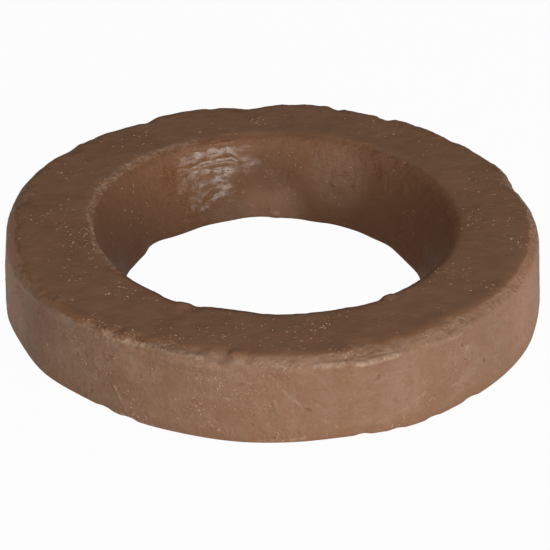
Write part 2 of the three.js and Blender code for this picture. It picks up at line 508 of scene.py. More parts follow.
@dataclass
class RingSection:
    """The section that is spun into the ring. All sizes are in metres.

    Attributes:
        height: From the underside to the top face.
        base_radius: The outer wall at the underside.
        top_radius: The outer wall at the top face.
        mouth_radius: The funnel bore at the top face.
        bore_radius: The funnel bore at the underside.
        foot_bevel: How far the outer edge at the underside is cut back.
        rim_bevel: How far the outer edge at the top is cut back.
        mouth_bevel: How far the inner edge at the top is cut back.
        bore_bevel: How far the inner edge at the underside is cut back.
        rim_profile: The shape of the cut at the rim, where 0.5 is round and 0.25 flat.
    """

    height: float
    base_radius: float = 69.8 * MM
    top_radius: float = 68.4 * MM
    mouth_radius: float = 46.2 * MM
    bore_radius: float = 38.45 * MM
    foot_bevel: float = 0.9 * MM
    rim_bevel: float = 2.7 * MM
    mouth_bevel: float = 2.6 * MM
    bore_bevel: float = 1.4 * MM
    rim_profile: float = 0.3

    def corners(self) -> dict[Edge, Vector]:
        """Gives the four sharp corners before they are rounded.

        Returns:
            Each edge's corner in the plane y = 0.
        """
        return {
            Edge.FOOT: Vector((self.base_radius, 0, 0)),
            Edge.RIM: Vector((self.top_radius, 0, self.height)),
            Edge.MOUTH: Vector((self.mouth_radius, 0, self.height)),
            Edge.BORE: Vector((self.bore_radius, 0, 0)),
        }

    def point(self, face: Face, degrees: float, along: float) -> Vector:
        """Finds a place on one face of the plain ring.

        Args:
            face: The face.
            degrees: Where it is round the ring.
            along: The height on a wall, or the distance from the axis on the top face, in millimetres.

        Returns:
            The place, in metres.
        """
        height = self.height if face is Face.TOP else along * MM
        share = height / self.height
        radius = {
            Face.TOP: along * MM,
            Face.OUTSIDE: self.base_radius + (self.top_radius - self.base_radius) * share,
            Face.INSIDE: self.bore_radius + (self.mouth_radius - self.bore_radius) * share,
        }[face]
        angle = math.radians(degrees)
        return Vector((radius * math.cos(angle), radius * math.sin(angle), height))

    def route(self, face: Face, route: Route) -> list[Vector]:
        """Finds the places along a route on one face."""
        return [self.point(face, degrees, along) for degrees, along in route]

    def build(self) -> bpy.types.Object:
        """Makes the section as a closed loop of edges.

        Returns:
            The mesh object that holds the loop.
        """
        corners = self.corners()
        middle = sum(corners.values(), Vector()) / len(corners)
        deselect_all()
        bpy.ops.mesh.primitive_plane_add(size=self.height, location=middle, rotation=(math.pi / 2, 0, 0))
        loop = bpy.context.object
        bpy.ops.object.transform_apply(location=True, rotation=True, scale=True)
        for corner in corners.values():
            self._move_corner(loop, middle, corner)
        self._round_corner(loop, corners[Edge.FOOT], self.foot_bevel, 2, 0.5)
        self._round_corner(loop, corners[Edge.RIM], self.rim_bevel, 4, self.rim_profile)
        self._round_corner(loop, corners[Edge.MOUTH], self.mouth_bevel, 3, 0.5)
        self._round_corner(loop, corners[Edge.BORE], self.bore_bevel, 2, 0.5)
        self._divide_sides(loop)
        bpy.ops.object.mode_set(mode="EDIT")
        bpy.ops.mesh.select_all(action="SELECT")
        bpy.ops.mesh.delete(type="ONLY_FACE")
        bpy.ops.object.mode_set(mode="OBJECT")
        return loop

    @staticmethod
    def _move_corner(loop: bpy.types.Object, middle: Vector, corner: Vector) -> None:
        """Moves the plane's corner in one quarter to a corner of the section.

        Args:
            loop: The plane.
            middle: The plane's middle.
            corner: Where the corner goes.
        """
        places = places_of(loop)
        side = np.sign(places - np.array(middle))
        wanted = np.sign(np.array(corner - middle))
        chosen = (side[:, 0] == wanted[0]) & (side[:, 2] == wanted[2])
        start = Vector(places[chosen][0])
        edit_vertices(loop, chosen)
        bpy.ops.transform.translate(value=corner - start)
        bpy.ops.object.mode_set(mode="OBJECT")

    @staticmethod
    def _round_corner(
        loop: bpy.types.Object, corner: Vector, offset: float, segments: int, profile: float
    ) -> None:
        """Bevels one corner of the section.

        Args:
            loop: The section so far.
            corner: The sharp corner.
            offset: How far the corner is cut back.
            segments: How many steps the cut has.
            profile: The shape of the cut, where 0.5 is round and 0.25 flat.
        """
        same_place = 0.01 * MM
        distance = np.linalg.norm(places_of(loop) - np.array(corner), axis=1)
        edit_vertices(loop, distance < same_place)
        bpy.ops.mesh.bevel(offset=offset, segments=segments, profile=profile, affect="VERTICES")
        bpy.ops.object.mode_set(mode="OBJECT")

    def _divide_sides(self, loop: bpy.types.Object) -> None:
        """Divides the four long sides so that the marks have something to move.

        Args:
            loop: The section with its rounded corners.
        """
        cuts_underneath = 3
        cuts_elsewhere = 6
        shortest_side = 9 * MM
        near_floor = 0.5 * MM
        ends = [tuple(edge.vertices) for edge in loop.data.edges]
        places = places_of(loop)
        for first, second in ends:
            if np.linalg.norm(places[first] - places[second]) < shortest_side:
                continue
            underneath = max(places[first][2], places[second][2]) < near_floor
            chosen = np.zeros(len(loop.data.vertices), bool)
            chosen[[first, second]] = True
            edit_vertices(loop, chosen)
            bpy.ops.mesh.subdivide(number_cuts=cuts_underneath if underneath else cuts_elsewhere)
            bpy.ops.object.mode_set(mode="OBJECT")


@dataclass
class WaxRing:
    """The poured ring.

    Attributes:
        section: The section that is spun.
        steps: How many steps the spin has.
        lean: How far the outer top edge leans towards -X, in metres.
        lean_width: How much of the top face moves with that edge, in metres.
        lean_height: How much of the outer wall does, in metres.
        grip: How near to the nearest vertex a mark takes hold of its edge, in metres.
        dent_core: The share of a dent's reach that sinks as a whole.
        stroke_core: The share of a stroke's width that sinks as a whole.
        seed: Fixes the small chips.
    """

    section: RingSection
    steps: int = 173
    lean: float = 0.7 * MM
    lean_width: float = 4 * MM
    lean_height: float = 3.5 * MM
    grip: float = 1.2 * MM
    dent_core: float = 0.25
    stroke_core: float = 0.3
    seed: int = 7

    def build(self) -> bpy.types.Object:
        """Makes the ring from its section to its finest relief.

        Returns:
            The finished mesh object.
        """
        ring = self._spin()
        self._lean(ring)
        for edge, marks in (
            (Edge.RIM, RIM_MARKS),
            (Edge.FOOT, FOOT_MARKS),
            (Edge.MOUTH, MOUTH_MARKS),
            (Edge.BORE, BORE_MARKS),
        ):
            for mark in marks:
                self._press(ring, edge, mark)
        self._refine(ring)
        self._refine(ring)
        self._mark_surface(ring)
        self._weigh(ring)
        self._roughen(ring)
        self._stand(ring)
        make_active(ring)
        bpy.ops.object.shade_smooth()
        return ring

    def _chips(self) -> tuple[Dent, ...]:
        """Spreads small chips and burrs unevenly along the edge of the top face.

        Returns:
            The chips.
        """
        chance = random.Random(self.seed)
        chips = []
        degrees = 0.0
        while degrees < 360:
            flaky = any(first < degrees < last for first, last in FLAKY_STRETCHES)
            degrees += chance.uniform(1.6, 3.2) if flaky else chance.uniform(4.5, 11)
            off_axis = chance.uniform(65.8, 67.4)
            reach = chance.uniform(1.3, 2.2)
            chips.append(Dent(Face.TOP, degrees, off_axis, reach, chance.choice(CHIP_DEPTHS)))
        return tuple(chips)

    def _spin(self) -> bpy.types.Object:
        """Spins the section round the axis and closes the ring.

        Returns:
            The ring as a coarse mesh.
        """
        ring = self.section.build()
        ring.name = "wax_ring_body"
        edit_vertices(ring, np.ones(len(ring.data.vertices), bool))
        bpy.ops.mesh.spin(steps=self.steps, angle=FULL_TURN, center=(0, 0, 0), axis=(0, 0, 1))
        bpy.ops.mesh.select_all(action="SELECT")
        bpy.ops.mesh.remove_doubles(threshold=0.001 * MM)
        bpy.ops.mesh.normals_make_consistent(inside=False)
        bpy.ops.object.mode_set(mode="OBJECT")
        return ring

    def _lean(self, ring: bpy.types.Object) -> None:
        """Pushes the outer top edge a little towards -X, less and less down the wall.

        Args:
            ring: The ring.
        """
        places = places_of(ring)
        radius = np.hypot(places[:, 0], places[:, 1])
        rim = self.section.corners()[Edge.RIM]
        edit_vertices(ring, (radius > rim.x - self.lean_width) & (places[:, 2] > rim.z - self.lean_height))
        bpy.ops.transform.translate(
            value=(-self.lean, 0, 0),
            use_proportional_edit=True,
            proportional_edit_falloff="LINEAR",
            proportional_size=rim.z,
        )
        bpy.ops.object.mode_set(mode="OBJECT")

    def _press(self, ring: bpy.types.Object, edge: Edge, mark: Mark) -> None:
        """Presses one mark into an edge with a soft-edged move.

        Args:
            ring: The ring.
            edge: The edge that is marked.
            mark: Where and how far.
        """
        corner = self.section.corners()[edge]
        angle = math.radians(mark.degrees)
        around = Vector((math.cos(angle), math.sin(angle), 0))
        point = around * corner.x + Vector((0, 0, corner.z))
        distance = np.linalg.norm(places_of(ring) - np.array(point), axis=1)
        edit_vertices(ring, distance < distance.min() + self.grip)
        bpy.ops.transform.translate(
            value=(around * mark.outward + Vector((0, 0, mark.upward))) * MM,
            use_proportional_edit=True,
            proportional_edit_falloff="SMOOTH",
            proportional_size=math.radians(mark.reach) * corner.x,
        )
        bpy.ops.object.mode_set(mode="OBJECT")

    def _mark_surface(self, ring: bpy.types.Object) -> None:
        """Presses in every dent, chip, gouge and smear.

        Args:
            ring: The ring.
        """
        places = places_of(ring)
        edit_vertices(ring, np.zeros(len(places), bool))
        for dent in DENTS + self._chips():
            point = self.section.point(dent.face, dent.degrees, dent.along)
            distance = np.linalg.norm(places - np.array(point), axis=1)
            core = self.dent_core * dent.reach * MM
            self._sink(ring, distance < distance.min() + core, dent.depth, dent.reach)
        for stroke in STROKES:
            distance = self._off_route(places, stroke)
            core = self.stroke_core * stroke.width * MM
            self._sink(ring, distance < distance.min() + core, stroke.depth, stroke.width)
        bpy.ops.object.mode_set(mode="OBJECT")

    @staticmethod
    def _sink(ring: bpy.types.Object, chosen: np.ndarray, depth: float, reach: float) -> None:
        """Sinks the chosen vertices into the surface, and those round them less and less.

        Args:
            ring: The ring, in edit mode.
            chosen: One true or false for each vertex.
            depth: How deep, in millimetres.
            reach: How far the dent spreads, in millimetres.
        """
        choose_vertices(ring, chosen)
        bpy.ops.transform.shrink_fatten(
            value=-depth * MM,
            use_proportional_edit=True,
            proportional_edit_falloff="SMOOTH",
            proportional_size=reach * MM,
        )

    def _off_route(self, places: np.ndarray, stroke: Stroke) -> np.ndarray:
        """Measures how far each vertex is from a stroke's route.

        Args:
            places: The vertices' places.
            stroke: The stroke.

        Returns:
            The distances, in metres.
        """
        nearest = np.full(len(places), np.inf)
        points = self.section.route(stroke.face, stroke.route)
        for start, end in zip(points, points[1:]):
            step = np.array(end - start)
            share = np.clip((places - np.array(start)) @ step / (step @ step), 0, 1)
            gap = np.linalg.norm(places - np.array(start) - share[:, None] * step, axis=1)
            nearest = np.minimum(nearest, gap)
        return nearest

    @staticmethod
    def _refine(ring: bpy.types.Object) -> None:
        """Splits every face in four on a smooth surface.

        Args:
            ring: The ring.
        """
        modifier = ring.modifiers.new("refine", "SUBSURF")
        modifier.levels = 1
        modifier.render_levels = 1
        finish_modifier(ring, modifier)

    def _weigh(self, ring: bpy.types.Object) -> None:
        """Paints the vertex groups that say where each relief acts.

        Args:
            ring: The ring.
        """
        places = places_of(ring)
        radius = np.hypot(places[:, 0], places[:, 1])
        height = places[:, 2]
        off_floor = between(height, 0.1 * MM, 1.5 * MM)
        inside = between(radius, self.section.mouth_radius + 3 * MM, self.section.mouth_radius)
        outside = between(radius, self.section.top_radius - 4 * MM, self.section.top_radius - 1 * MM)
        back = between(places[:, 1], -10 * MM, 20 * MM)
        weights = {
            "all": off_floor,
            "outer_wall": outside * off_floor,
            "bore_wall": inside * off_floor * (0.2 + 0.8 * back),
            "bore_back": inside * off_floor * between(places[:, 1], 26 * MM, 36 * MM),
            "edges": np.maximum(inside, outside) * between(height, 17 * MM, 21 * MM),
        }
        levels = 20
        for name, weight in weights.items():
            group = ring.vertex_groups.new(name=name)
            share = np.rint(weight * levels).astype(int)
            for level in range(1, levels + 1):
                group.add(np.flatnonzero(share == level).tolist(), level / levels, "REPLACE")

    @staticmethod
    def _roughen(ring: bpy.types.Object) -> None:
        """Adds the uneven surface, from broad waves to small dimples.

        Args:
            ring: The ring.
        """
        for name, group, grain, depth in (
            ("broad_waves", "all", 18 * MM, 0.25 * MM),
            ("wall_lumps", "outer_wall", 7 * MM, 0.22 * MM),
            ("bore_lumps", "bore_wall", 5 * MM, 0.4 * MM),
            ("bore_crumble", "bore_back", 2.1 * MM, 0.35 * MM),
            ("wall_grain", "outer_wall", 2.6 * MM, 0.12 * MM),
            ("edge_dimples", "edges", 2.2 * MM, 0.3 * MM),
        ):
            texture = bpy.data.textures.new(name, type="CLOUDS")
            texture.noise_scale = grain
            texture.noise_depth = 2
            modifier = ring.modifiers.new(name, "DISPLACE")
            modifier.texture = texture
            modifier.texture_coords = "LOCAL"
            modifier.vertex_group = group
            modifier.strength = depth
            finish_modifier(ring, modifier)

    @staticmethod
    def _stand(ring: bpy.types.Object) -> None:
        """Lifts what sank below the floor back to it.

        Args:
            ring: The ring.
        """
        sunk = places_of(ring)[:, 2] < 0
        if not sunk.any():
            return
        edit_vertices(ring, sunk)
        bpy.ops.transform.resize(value=(1, 1, 0), center_override=(0, 0, 0))
        bpy.ops.object.mode_set(mode="OBJECT")


@dataclass(frozen=True)
class Crumb:
    """One shape of crumb: a small curled sliver of wax.

    Attributes:
        length: Its length along the curl, in metres.
        thickness: How thick it is, in metres.
        bend: How far it curls, in degrees.
        sides: How many sides its section has.
        steps: How many steps its curl has.
        taper: The size of its far end, as a share of the near one.
    """

    length: float
    thickness: float
    bend: float
    sides: int = 4
    steps: int = 3
    taper: float = 0.35

    def build(self) -> bpy.types.Object:
        """Makes the sliver round the origin.

        Returns:
            The mesh object.
        """
        bend = math.radians(self.bend)
        arm = self.length / bend
        deselect_all()
        bpy.ops.mesh.primitive_circle_add(
            vertices=self.sides,
            radius=self.thickness / 2,
            fill_type="NGON",
            location=(arm, 0, 0),
            rotation=(math.pi / 2, 0, 0),
        )
        sliver = bpy.context.object
        bpy.ops.object.transform_apply(location=True, rotation=True, scale=True)
        bpy.ops.object.mode_set(mode="EDIT")
        bpy.ops.mesh.select_all(action="SELECT")
        bpy.ops.mesh.spin(steps=self.steps, angle=bend, center=(0, 0, 0), axis=(0, 0, 1))
        bpy.ops.transform.resize(value=(self.taper, self.taper, self.taper))
        bpy.ops.mesh.select_all(action="SELECT")
        bpy.ops.mesh.normals_make_consistent(inside=False)
        bpy.ops.object.mode_set(mode="OBJECT")
        bpy.ops.object.origin_set(type="ORIGIN_GEOMETRY", center="BOUNDS")
        sliver.location = (0, 0, 0)
        return sliver


@dataclass
class WaxCrumbs:
    """The loose crumbs and flakes that stick to the ring.

    Attributes:
        section: The section of the ring.
        ring: The finished ring that they lie on.
        shapes: The shapes of crumb.
        seed: Fixes where they fall.
        top_limits: How near to the axis and how far from it they fall on the top face, in millimetres.
        wall_limits: How low and how high they fall on the walls, in millimetres.
        upmost: How level the surface is where they lie along X, as the upward share of its normal.
        lift: How far their middles are off the surface, in metres.
    """

    section: RingSection
    ring: bpy.types.Object
    shapes: tuple[Crumb, ...] = (
        Crumb(0.7 * MM, 0.15 * MM, 30),
        Crumb(0.9 * MM, 0.13 * MM, 110),
        Crumb(1.1 * MM, 0.12 * MM, 190),
        Crumb(0.3 * MM, 0.2 * MM, 40),
    )
    seed: int = 11
    top_limits: tuple[float, float] = (46.8, 68.2)
    wall_limits: tuple[float, float] = (0.8, 21.5)
    upmost: float = 0.9
    lift: float = 0.04 * MM

    def build(self) -> bpy.types.Object:
        """Strews all the crumbs and joins them into one object.

        Returns:
            The crumbs.
        """
        chance = random.Random(self.seed)
        surface = BVHTree.FromObject(self.ring, bpy.context.evaluated_depsgraph_get())
        shapes = [shape.build() for shape in self.shapes]
        spots = [self._spot(chance, patch) for patch in CRUMB_PATCHES for _ in range(int(patch.amount))]
        spots += [self._lone_spot(chance) for _ in range(LONE_CRUMBS)]
        crumbs = [self._drop(chance, shapes, surface, spot) for spot in spots]
        deselect_all()
        for shape in shapes:
            shape.select_set(True)
        bpy.ops.object.delete()
        for crumb in crumbs:
            crumb.select_set(True)
        bpy.context.view_layer.objects.active = crumbs[0]
        bpy.ops.object.join()
        bpy.ops.object.transform_apply(location=True, rotation=True, scale=True)
        heap = bpy.context.object
        heap.name = "wax_crumbs"
        return heap

    def _spot(self, chance: random.Random, patch: Patch) -> Vector:
        """Picks a place in a patch, thicker towards its middle.

        Args:
            chance: The source of chance.
            patch: The patch.

        Returns:
            A place near the surface.
        """
        middle = self.section.point(patch.face, patch.degrees, patch.along)
        radius = Vector((middle.x, middle.y)).length
        spread = 0.45 * patch.reach
        degrees = patch.degrees + math.degrees(chance.gauss(0, 1.25 * spread) * MM / radius)
        along = patch.along + chance.gauss(0, spread)
        low, high = self.top_limits if patch.face is Face.TOP else self.wall_limits
        return self.section.point(patch.face, degrees, min(max(along, low), high))

    def _lone_spot(self, chance: random.Random) -> Vector:
        """Picks a place anywhere on the three faces that show.

        Args:
            chance: The source of chance.

        Returns:
            A place near the surface.
        """
        face = chance.choice((Face.TOP, Face.TOP, Face.OUTSIDE, Face.INSIDE))
        along = chance.uniform(47.5, 66) if face is Face.TOP else chance.uniform(1, 21)
        return self.section.point(face, chance.uniform(0, 360), along)

    def _drop(
        self, chance: random.Random, shapes: list[bpy.types.Object], surface: BVHTree, spot: Vector
    ) -> bpy.types.Object:
        """Lays one crumb on the ring's surface, turned and sized by chance.

        Args:
            chance: The source of chance.
            shapes: The shapes to choose from.
            surface: The ring's surface.
            spot: A place near the surface.

        Returns:
            The crumb.
        """
        place, normal, _, _ = surface.find_nearest(spot)
        shape = chance.choice(shapes)
        crumb = shape.copy()
        crumb.data = shape.data.copy()
        bpy.context.collection.objects.link(crumb)
        upright = normal.to_track_quat("Z", "Y").to_matrix().to_4x4()
        turn = chance.gauss(math.pi / 2, 0.5) if normal.z > self.upmost else chance.uniform(0, FULL_TURN)
        spin = Matrix.Rotation(turn, 4, "Z")
        tilt = Matrix.Rotation(math.radians(chance.gauss(0, 16)), 4, "X")
        size = chance.uniform(0.5, 1.2)
        lifted = Matrix.Translation(place + normal * self.lift)
        crumb.matrix_world = lifted @ upright @ spin @ tilt @ Matrix.Scale(size, 4)
        return crumb


class Graph:
    """Adds and joins nodes in one shader node tree."""

    def __init__(self, tree: bpy.types.NodeTree) -> None:
        """Starts with an empty tree.

        Args:
            tree: The tree to fill.
        """
        self.tree = tree
        tree.nodes.clear()

    def add(self, kind: str, **settings: object) -> bpy.types.Node:
        """Adds a node and sets its properties.

        Args:
            kind: The node's type.
            **settings: The node's own properties.

        Returns:
            The node.
        """
        node = self.tree.nodes.new(kind)
        for name, value in settings.items():
            setattr(node, name, value)
        return node

    def put(self, node: bpy.types.Node, name: str | int, value: object) -> None:
        """Joins a socket to an input, or sets the input to a plain value.

        Args:
            node: The node whose input is set.
            name: The input's name or number.
            value: A socket, a number, a colour or a vector.
        """
        target = node.inputs[name]
        if isinstance(value, Socket):
            self.tree.links.new(value, target)
        else:
            target.default_value = value

    def math(self, operation: str, first: object, second: object = 0.0) -> Socket:
        """Works out a sum.

        Args:
            operation: The Math node's operation.
            first: The first value.
            second: The second value.

        Returns:
            The result's socket.
        """
        node = self.add("ShaderNodeMath", operation=operation)
        self.put(node, 0, first)
        self.put(node, 1, second)
        return node.outputs[0]

    def times(self, *values: object) -> Socket:
        """Multiplies several values.

        Args:
            *values: Sockets or numbers.

        Returns:
            The product's socket.
        """
        product = values[0]
        for value in values[1:]:
            product = self.math("MULTIPLY", product, value)
        return product

    def total(self, *values: object) -> Socket:
        """Adds several values.

        Args:
            *values: Sockets or numbers.

        Returns:
            The sum's socket.
        """
        result = values[0]
        for value in values[1:]:
            result = self.math("ADD", result, value)
        return result

    def fade(self, value: object, low: object, high: object) -> Socket:
        """Fades from 0 at low to 1 at high.

        Args:
            value: What is compared.
            low: Where the fade starts.
            high: Where it ends.

        Returns:
            The mask's socket.
        """
        node = self.add("ShaderNodeMapRange", interpolation_type="SMOOTHSTEP")
        self.put(node, "Value", value)
        self.put(node, "From Min", low)
        self.put(node, "From Max", high)
        return node.outputs["Result"]

    def noise(self, vector: object, scale: object, detail: float = 3.0, rough: float = 0.5) -> Socket:
        """Adds a noise pattern.

        Args:
            vector: The coordinates' socket.
            scale: How fine it is, in waves to a metre.
            detail: How many finer layers it has.
            rough: How strong the finer layers are.

        Returns:
            The pattern's value.
        """
        node = self.add("ShaderNodeTexNoise")
        self.put(node, "Vector", vector)
        self.put(node, "Scale", scale)
        self.put(node, "Detail", detail)
        self.put(node, "Roughness", rough)
        return node.outputs["Fac"]

    def swing(self, vector: object, scale: object, detail: float = 3.0, rough: float = 0.5) -> Socket:
        """Adds a noise pattern that swings about 0.

        Args:
            vector: The coordinates' socket.
            scale: How fine it is, in waves to a metre.
            detail: How many finer layers it has.
            rough: How strong the finer layers are.

        Returns:
            The pattern's value.
        """
        return self.math("SUBTRACT", self.noise(vector, scale, detail, rough), 0.5)

    def stretch(self, vector: object, scale: tuple[float, float, float]) -> Socket:
        """Scales coordinates differently along each axis.

        Args:
            vector: The coordinates' socket.
            scale: The factor along x, y and z.

        Returns:
            The new coordinates.
        """
        node = self.add("ShaderNodeMapping")
        self.put(node, "Vector", vector)
        self.put(node, "Scale", scale)
        return node.outputs["Vector"]

    def mix(self, factor: object, first: object, second: object, blend: str = "MIX") -> Socket:
        """Mixes two colours.

        Args:
            factor: How much of the second shows.
            first: The first colour.
            second: The second colour.
            blend: The way of mixing.

        Returns:
            The mixed colour.
        """
        node = self.add("ShaderNodeMix", data_type="RGBA", blend_type=blend)
        self.put(node, 0, factor)
        self.put(node, 6, first)
        self.put(node, 7, second)
        return node.outputs[2]

    def vector(self, operation: str, first: object, second: object) -> bpy.types.Node:
        """Adds one vector sum.

        Args:
            operation: The Vector Math node's operation.
            first: The first vector.
            second: The second vector, or the factor of a SCALE.

        Returns:
            The node.
        """
        node = self.add("ShaderNodeVectorMath", operation=operation)
        self.put(node, 0, first)
        self.put(node, "Scale" if operation == "SCALE" else 1, second)
        return node

    def place(self, group: bpy.types.NodeTree, **values: object) -> bpy.types.Node:
        """Places a node group with its own values.

        Args:
            group: The group.
            **values: A value or socket for each named input.

        Returns:
            The group node.
        """
        node = self.add("ShaderNodeGroup", node_tree=group)
        for name, value in values.items():
            self.put(node, name, value)
        return node

    def mask(self, group: bpy.types.NodeTree, vector: object, **values: object) -> Socket:
        """Places a node group and takes its mask.

        Args:
            group: The group.
            vector: The coordinates' socket.
            **values: A value or socket for each other input.

        Returns:
            The mask's socket.
        """
        return self.place(group, Vector=vector, **values).outputs["Mask"]


class Effect:
    """A shader node group with named inputs and outputs, built once."""

    def __init__(self, name: str, inputs: dict[str, float | None], outputs: tuple[str, ...]) -> None:
        """Makes the group and its sockets.

        Args:
            name: The group's name.
            inputs: Each number input's first value, or None for the coordinates.
            outputs: The names of the outputs.
        """
        self.tree = bpy.data.node_groups.new(name, "ShaderNodeTree")
        self.graph = Graph(self.tree)
        for label, value in inputs.items():
            kind = "NodeSocketVector" if value is None else "NodeSocketFloat"
            socket = self.tree.interface.new_socket(label, in_out="INPUT", socket_type=kind)
            if value is not None:
                socket.default_value = value
        for label in outputs:
            self.tree.interface.new_socket(label, in_out="OUTPUT", socket_type="NodeSocketFloat")
        self.given = self.graph.add("NodeGroupInput").outputs
        self.result = self.graph.add("NodeGroupOutput")

    def give(self, **values: Socket) -> bpy.types.NodeTree:
        """Joins the group's outputs.

        Args:
            **values: The socket for each named output.

        Returns:
            The finished group.
        """
        for name, value in values.items():
            self.graph.put(self.result, name, value)
        return self.tree


def crumbs_effect() -> bpy.types.NodeTree:
    """Builds the crumbs: small curled flakes strewn over a surface.

    Returns:
        The group, which puts out a mask.
    """
    inputs = {"Vector": None, "Scale": 900.0, "Size": 0.16, "Share": 0.5, "Curl": 0.5}
    effect = Effect("wax_crumbs", inputs, ("Mask",))
    graph, given = effect.graph, effect.given
    bend = graph.add("ShaderNodeTexNoise")
    graph.put(bend, "Vector", given["Vector"])
    graph.put(bend, "Scale", graph.times(given["Scale"], 1.2))
    graph.put(bend, "Detail", 1.0)
    centred = graph.vector("SUBTRACT", bend.outputs["Color"], (0.5, 0.5, 0.5)).outputs[0]
    curl = graph.math("DIVIDE", given["Curl"], given["Scale"])
    shift = graph.vector("SCALE", centred, curl).outputs[0]
    cells = graph.add("ShaderNodeTexVoronoi")
    graph.put(cells, "Vector", graph.vector("ADD", given["Vector"], shift).outputs[0])
    graph.put(cells, "Scale", given["Scale"])
    split = graph.add("ShaderNodeSeparateColor")
    graph.put(split, "Color", cells.outputs["Color"])
    size = graph.times(given["Size"], graph.total(0.5, split.outputs[1]))
    speck = graph.fade(cells.outputs["Distance"], size, graph.times(size, 0.5))
    picked = graph.math("LESS_THAN", split.outputs[0], given["Share"])
    return effect.give(Mask=graph.times(speck, picked))


def scratches_effect() -> bpy.types.NodeTree:
    """Builds the scratches: thin lines along the contours of a stretched noise.

    Returns:
        The group, which puts out a mask.
    """
    inputs = {"Vector": None, "Scale": 200.0, "Width": 0.01, "Share": 0.5}
    effect = Effect("wax_scratches", inputs, ("Mask",))
    graph, given = effect.graph, effect.given
    off_line = graph.math("ABSOLUTE", graph.swing(given["Vector"], given["Scale"], 2.0))
    line = graph.fade(off_line, given["Width"], 0.0)
    patches = graph.noise(given["Vector"], graph.times(given["Scale"], 1.7), 1.0)
    broken = graph.fade(patches, graph.math("SUBTRACT", 0.72, graph.times(given["Share"], 0.4)), 0.75)
    return effect.give(Mask=graph.times(line, broken))


def zone_effect() -> bpy.types.NodeTree:
    """Builds the zones of the ring: its faces, the band at the edge of the top, where a highlight is
    painted, and the band at the foot, where shade is painted.

    Returns:
        The group, which puts out one mask for each zone.
    """
    inputs = {"Vector": None, "Ripple": 0.0, "Droop": 0.0}
    effect = Effect("ring_zones", inputs, ("Top", "Outside", "Inside", "Band", "Foot"))
    graph, given = effect.graph, effect.given
    axes = graph.add("ShaderNodeSeparateXYZ")
    graph.put(axes, 0, given["Vector"])
    flat = graph.add("ShaderNodeCombineXYZ")
    graph.put(flat, 0, axes.outputs[0])
    graph.put(flat, 1, axes.outputs[1])
    length = graph.add("ShaderNodeVectorMath", operation="LENGTH")
    graph.put(length, 0, flat.outputs[0])
    radius = length.outputs["Value"]
    off_floor = graph.fade(axes.outputs[2], 0.03 * MM, 0.4 * MM)
    outer_half = graph.times(graph.fade(radius, 61 * MM, 64.5 * MM), off_floor)
    inside = graph.times(graph.fade(radius, 48.6 * MM, 47.0 * MM), off_floor)
    ripple = graph.times(given["Ripple"], 0.5 * MM)
    droop = graph.times(given["Droop"], 0.7 * MM)
    height = graph.total(axes.outputs[2], ripple, droop)
    below_top = graph.fade(height, 22.3 * MM, 21.95 * MM)
    outside = graph.times(outer_half, below_top)
    above_wall = graph.fade(height, 18.6 * MM, 20.0 * MM)
    near_floor = graph.fade(height, 5 * MM, 0.5 * MM)
    walls = graph.math("MAXIMUM", outside, inside)
    return effect.give(
        Top=graph.math("SUBTRACT", 1.0, walls),
        Outside=outside,
        Inside=inside,
        # The band below the top edge, which takes a painted highlight.
        Band=graph.times(outside, above_wall),
        # The outer wall near the floor, which takes painted shade.
        Foot=graph.times(outside, near_floor),
    )


def patches_effect(name: str, section: RingSection, patches: tuple[Patch, ...]) -> bpy.types.NodeTree:
    """Builds the mask of several soft round patches.

    Args:
        name: The group's name.
        section: The section of the ring, which places the patches.
        patches: The patches.

    Returns:
        The group, which puts out a mask.
    """
    effect = Effect(name, {"Vector": None}, ("Mask",))
    graph, given = effect.graph, effect.given
    full_within = 0.35
    mask = 0.0
    for patch in patches:
        middle = section.point(patch.face, patch.degrees, patch.along)
        gap = graph.vector("DISTANCE", given["Vector"], middle).outputs["Value"]
        spot = graph.fade(gap, patch.reach * MM, full_within * patch.reach * MM)
        mask = graph.math("MAXIMUM", mask, graph.times(spot, patch.amount))
    return effect.give(Mask=mask)


def streaks_effect(section: RingSection, streaks: tuple[Streak, ...]) -> bpy.types.NodeTree:
    """Builds the mask of several soft streaks, each along its own route.

    Args:
        section: The section of the ring, which places the streaks.
        streaks: The streaks.

    Returns:
        The group, which puts out a mask.
    """
    effect = Effect("pale_and_highlight_streaks", {"Vector": None}, ("Mask",))
    graph, given = effect.graph, effect.given
    full_within = 0.3
    mask = 0.0
    for streak in streaks:
        points = section.route(streak.face, streak.route)
        for start, end in zip(points, points[1:]):
            way = end - start
            off = graph.vector("SUBTRACT", given["Vector"], start).outputs[0]
            reached = graph.vector("DOT_PRODUCT", off, way / way.length_squared).outputs["Value"]
            share = graph.add("ShaderNodeClamp")
            graph.put(share, "Value", reached)
            nearest = graph.vector("SCALE", way, share.outputs[0]).outputs[0]
            gap = graph.vector("DISTANCE", off, nearest).outputs["Value"]
            line = graph.fade(gap, streak.width * MM, full_within * streak.width * MM)
            mask = graph.math("MAXIMUM", mask, graph.times(line, streak.amount))
    return effect.give(Mask=mask)


